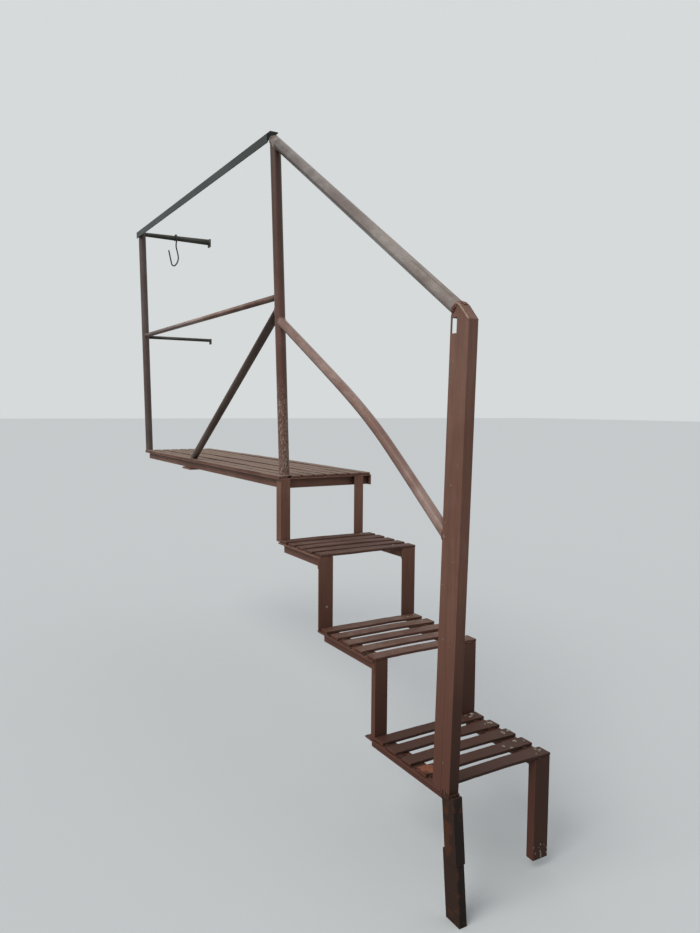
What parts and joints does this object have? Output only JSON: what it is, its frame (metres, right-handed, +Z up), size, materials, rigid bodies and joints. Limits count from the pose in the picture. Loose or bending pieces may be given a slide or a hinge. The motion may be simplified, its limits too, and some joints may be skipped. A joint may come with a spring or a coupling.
{
  "type": "wall-mounted steel entrance stair",
  "caption": "Exterior steel stair along a wall: slatted landing and steps on welded bars, with a pipe railing, square newel, angle legs and a hook on the wall-side bar.",
  "frame": {"origin": "centre of the landing angle's upright leg, on the face that lies flat on the wall", "axes": "+X along the wall, down the stair; +Y into the wall, away from the street; +Z up"},
  "size_m": [2.2782, 0.329, 1.7992],
  "materials": {
    "frame_paint": "matt red-brown oxide paint, rusty",
    "slat_paint": "worn and dusty red-brown oxide paint",
    "pipe_paint": "satin red-brown oxide paint, brush-marked",
    "dark_paint": "dark greenish grey paint",
    "bare_rust": "rough, mostly bare rust"
  },
  "bodies": {
    "stair": {"landing_outer_bar": "frame_paint", "landing_wall_angle": "frame_paint", "landing_near_bar": "frame_paint", "landing_far_bar": "frame_paint", "landing_cross_bar": "frame_paint", "landing_slats": "slat_paint", "riser_a_outer": "frame_paint", "riser_a_inner": "frame_paint", "riser_b_outer": "frame_paint", "riser_b_inner": "frame_paint", "riser_c_outer": "frame_paint", "riser_c_inner": "frame_paint", "step_1_outer_bar": "frame_paint", "step_1_inner_bar": "frame_paint", "step_1_slats": "slat_paint", "step_2_outer_bar": "frame_paint", "step_2_inner_bar": "frame_paint", "step_2_slats": "slat_paint", "step_3_outer_bar": "frame_paint", "step_3_inner_bar": "frame_paint", "step_3_slats": "slat_paint", "outer_leg_upper": "bare_rust", "outer_leg_lower": "bare_rust", "inner_leg": "frame_paint", "corner_post": "pipe_paint", "far_post": "pipe_paint", "top_rail": "dark_paint", "mid_rail": "pipe_paint", "brace": "pipe_paint", "handrail": "pipe_paint", "lower_rail": "pipe_paint", "newel_short_tube": "frame_paint", "newel_long_tube": "frame_paint", "newel_cap": "frame_paint", "upper_wall_bar": "dark_paint", "lower_wall_bar": "dark_paint", "upper_wall_lug": "dark_paint", "lower_wall_lug": "dark_paint"},
    "hanging_hook": {"hook": "dark_paint"}
  },
  "joints": [
    {"name": "hook_swing", "type": "hinge", "parent": "stair", "child": "hanging_hook", "pos_m": [-0.7089, -0.16, 0.9735], "axis": [0, 1, 0], "range_deg": [-45, 45]}
  ]
}
